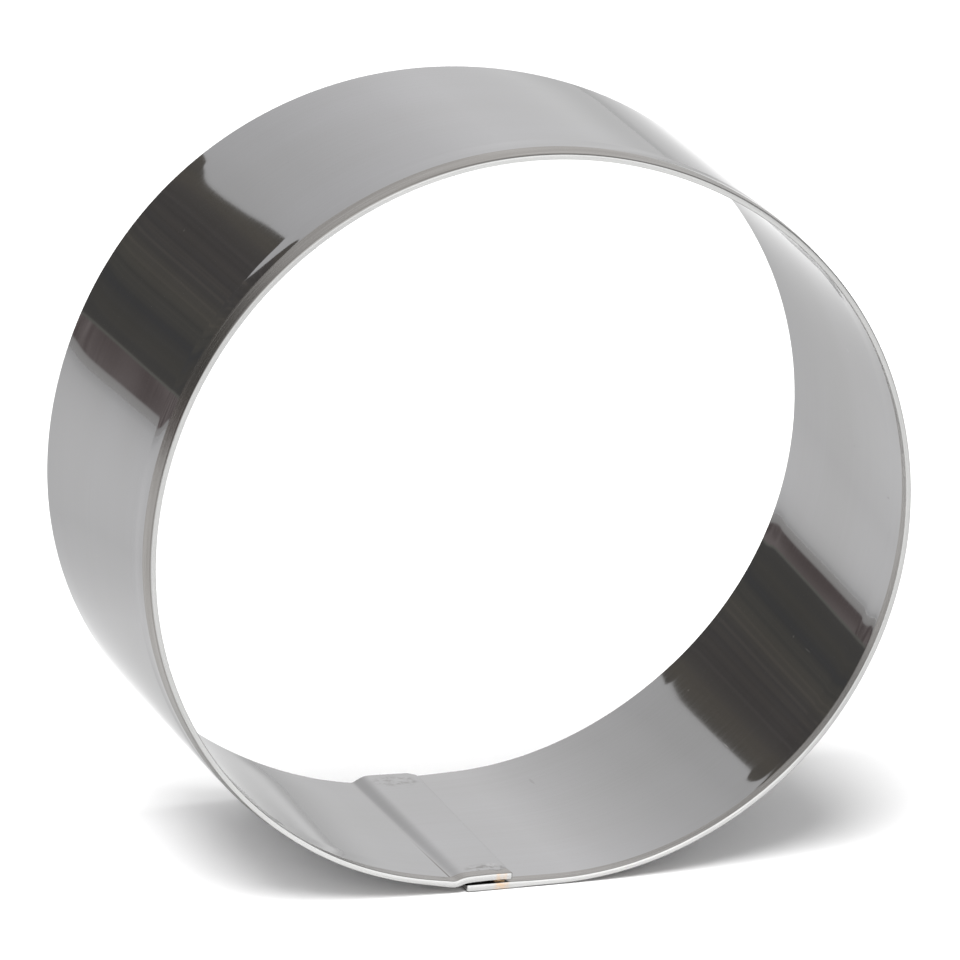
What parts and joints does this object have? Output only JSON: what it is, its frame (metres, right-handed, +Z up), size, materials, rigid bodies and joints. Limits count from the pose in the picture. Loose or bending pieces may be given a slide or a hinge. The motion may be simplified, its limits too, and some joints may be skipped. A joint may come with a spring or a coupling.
{
  "type": "biscuit cutter",
  "caption": "Plain round pastry cutter: a polished steel strip rolled into a ring, its ends lapped and spot welded, with one dressed rim.",
  "frame": {"origin": "on the surface that the ring stands on, under the middle of its width and of its height as a cutter (halfway between the rims)", "axes": "Y along the ring's own axis, with the dressed rim at -Y and the plain rim at +Y; Z up from the lap; the outer ply of the lap runs towards +X from its cut end"},
  "size_m": [0.1034, 0.04, 0.0976],
  "materials": {
    "steel": "polished",
    "weld": "heat tinted"
  },
  "bodies": {
    "root": {"cutter_band": "steel", "spot_welds": "weld"}
  },
  "joints": []
}
